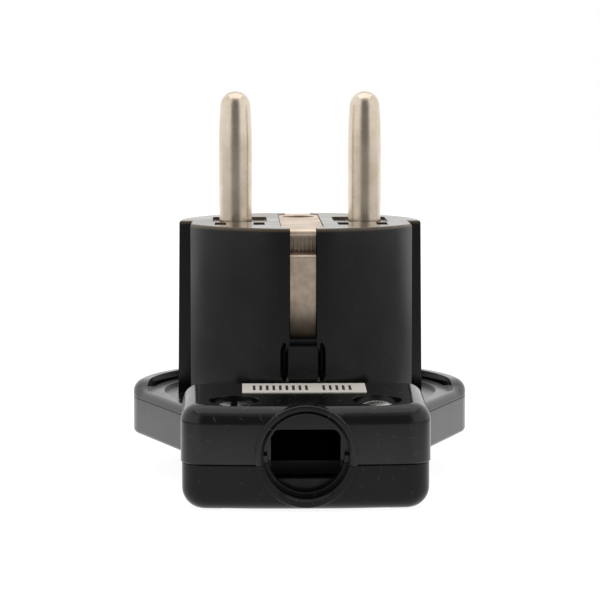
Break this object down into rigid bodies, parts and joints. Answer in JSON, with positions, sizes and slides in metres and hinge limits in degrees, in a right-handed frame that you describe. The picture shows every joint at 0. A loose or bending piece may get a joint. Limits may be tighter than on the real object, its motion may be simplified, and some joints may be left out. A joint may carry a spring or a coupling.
{
  "type": "flat electric plug",
  "caption": "Flat rewireable mains plug with a round notched drum, round pins, earth clips, a grip flange and a side cable entry.",
  "frame": {"origin": "on the flat back, on the drum's axis", "axes": "+Z along the pins away from the flat back, -Y towards the cable entry, +X to the right as seen from the cable entry"},
  "size_m": [0.0496, 0.0609, 0.0559],
  "materials": {
    "black_casing": "glossy moulded black thermoset with fine scratches",
    "nickel_plate": "nickel-plated brass, lightly worn",
    "brass": "turned brass",
    "zinc_plate": "zinc-plated steel",
    "inner_moulding": "matt moulded thermoset",
    "sticker": "printed paper sticker"
  },
  "bodies": {
    "root": {"front_shell": "black_casing", "back_cover": "black_casing", "live_pin": "nickel_plate", "neutral_pin": "nickel_plate", "earth_clip": "nickel_plate", "earth_socket": "brass", "contact_retainer": "inner_moulding", "retainer_screw": "zinc_plate", "live_terminal_screw": "zinc_plate", "neutral_terminal_screw": "zinc_plate", "earth_terminal_screw": "zinc_plate", "live_wire_guard": "nickel_plate", "neutral_wire_guard": "nickel_plate", "earth_wire_guard": "nickel_plate", "left_housing_screw": "zinc_plate", "right_housing_screw": "zinc_plate", "left_housing_nut": "zinc_plate", "right_housing_nut": "zinc_plate", "cord_clamp_bar": "inner_moulding", "left_cord_clamp_screw": "zinc_plate", "right_cord_clamp_screw": "zinc_plate", "label": "sticker"}
  },
  "joints": []
}
